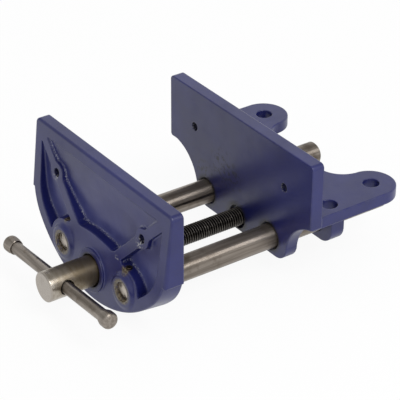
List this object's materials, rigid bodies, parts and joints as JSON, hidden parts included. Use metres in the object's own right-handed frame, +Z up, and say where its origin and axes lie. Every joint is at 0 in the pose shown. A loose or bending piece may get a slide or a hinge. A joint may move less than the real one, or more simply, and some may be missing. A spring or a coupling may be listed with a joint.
{
  "type": "woodworking vise",
  "caption": "Plain-screw woodworking vise that bolts under a bench edge: a fixed rear jaw, and a front jaw on guide rods drawn in by a screw with a sliding tommy bar.",
  "frame": {"origin": "midway between the two front bench bolt holes, on the face that seats against the underside of the bench", "axes": "+X along the jaws, +Y in under the bench along the guide rods, +Z up"},
  "size_m": [0.15, 0.235, 0.0926],
  "materials": {
    "enamel": "semi-gloss enamel on cast iron",
    "rod_steel": "ground",
    "screw_steel": "oiled, browned",
    "bar_steel": "turned",
    "pin_steel": "browned",
    "nut_bronze": "turned"
  },
  "bodies": {
    "bench_body": {"rear_jaw": "enamel", "main_nut": "nut_bronze", "nut_lock_screw": "pin_steel"},
    "front_jaw": {"front_jaw": "enamel", "left_guide_rod": "rod_steel", "right_guide_rod": "rod_steel", "left_rod_pin": "pin_steel", "right_rod_pin": "pin_steel"},
    "screw": {"main_screw": "screw_steel", "thrust_washer": "rod_steel", "screw_circlip": "pin_steel"},
    "tommy_bar": {"tommy_bar": "bar_steel", "bar_end_knob": "bar_steel"}
  },
  "joints": [
    {"name": "jaw_slide", "type": "slide", "parent": "bench_body", "child": "front_jaw", "axis": [0, 1, 0], "range_m": [-0.021, 0.0927]},
    {"name": "screw_turn", "type": "hinge", "parent": "front_jaw", "child": "screw", "pos_m": [0, -0.118, -0.031], "axis": [0, 1, 0], "range_deg": [-4321, 19071]},
    {"name": "bar_slide", "type": "slide", "parent": "screw", "child": "tommy_bar", "axis": [0.9986, 0, 0.0523], "range_m": [-0.0388, 0.0418]}
  ],
  "couplings": [
    {"joint": "screw_turn", "follows": "jaw_slide", "rad_per_m": 3590.4}
  ]
}
